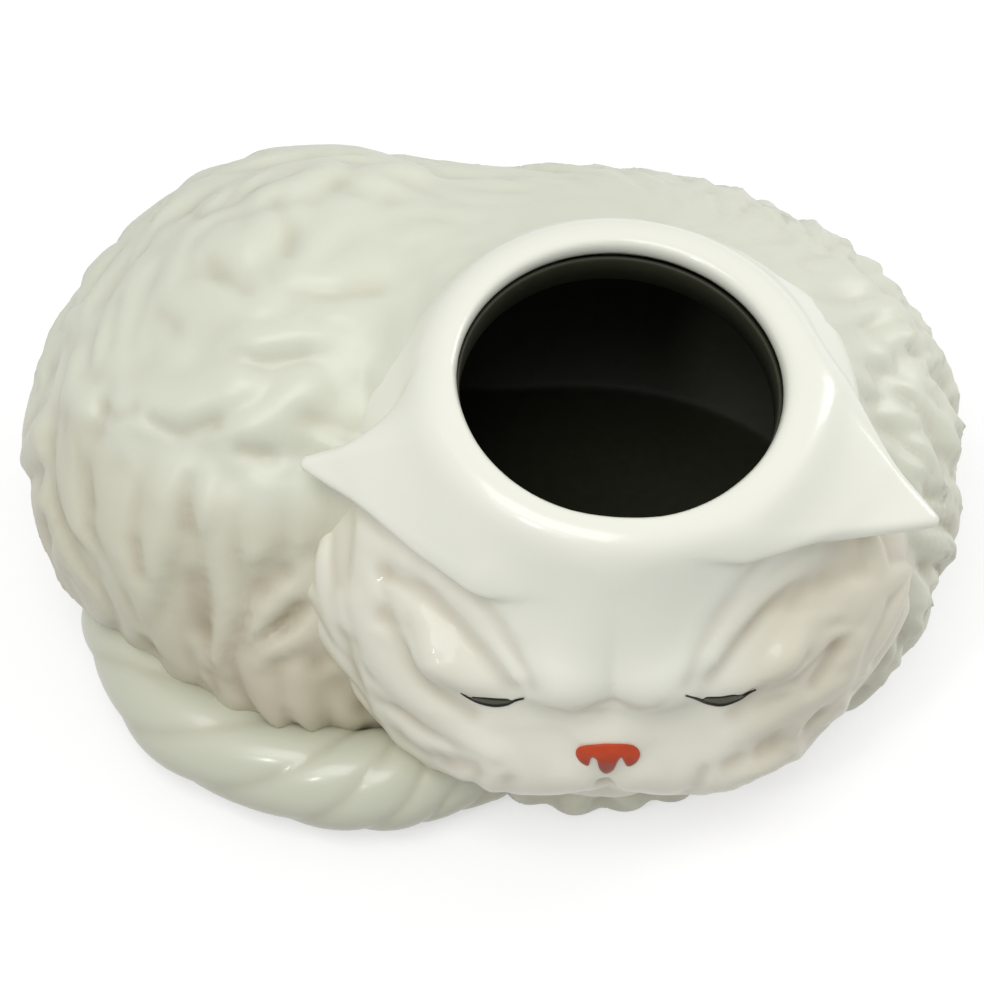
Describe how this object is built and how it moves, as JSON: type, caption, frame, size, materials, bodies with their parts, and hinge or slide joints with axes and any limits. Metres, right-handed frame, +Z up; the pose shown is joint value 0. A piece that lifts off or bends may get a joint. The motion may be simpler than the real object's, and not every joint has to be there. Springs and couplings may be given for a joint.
{
  "type": "cat vase",
  "caption": "Glazed ceramic vase shaped as a curled-up sleeping cat, with a wide round mouth in the top of its head that opens into a hollow body.",
  "frame": {"origin": "on the flat foot, under the middle of the vase's overall box", "axes": "+X along the curled body towards the cat's right-hand side of the picture, +Y away from the face, +Z up through the mouth"},
  "size_m": [0.2674, 0.2006, 0.137],
  "materials": {
    "fur_glaze": "glossy cream glaze, greyer and browner in the hollows of the coat",
    "cream_glaze": "glossy cream-white glaze",
    "tail_glaze": "glossy grey-cream glaze",
    "dark_glaze": "satin black glaze",
    "red_enamel": "glossy red-orange enamel",
    "black_enamel": "satin black enamel"
  },
  "bodies": {
    "root": {"body_shell": "fur_glaze", "head_shell": "cream_glaze", "left_ear": "cream_glaze", "right_ear": "cream_glaze", "tail": "tail_glaze", "inner_glaze": "dark_glaze", "nose_enamel": "red_enamel", "left_eye_line": "black_enamel", "right_eye_line": "black_enamel"}
  },
  "joints": []
}
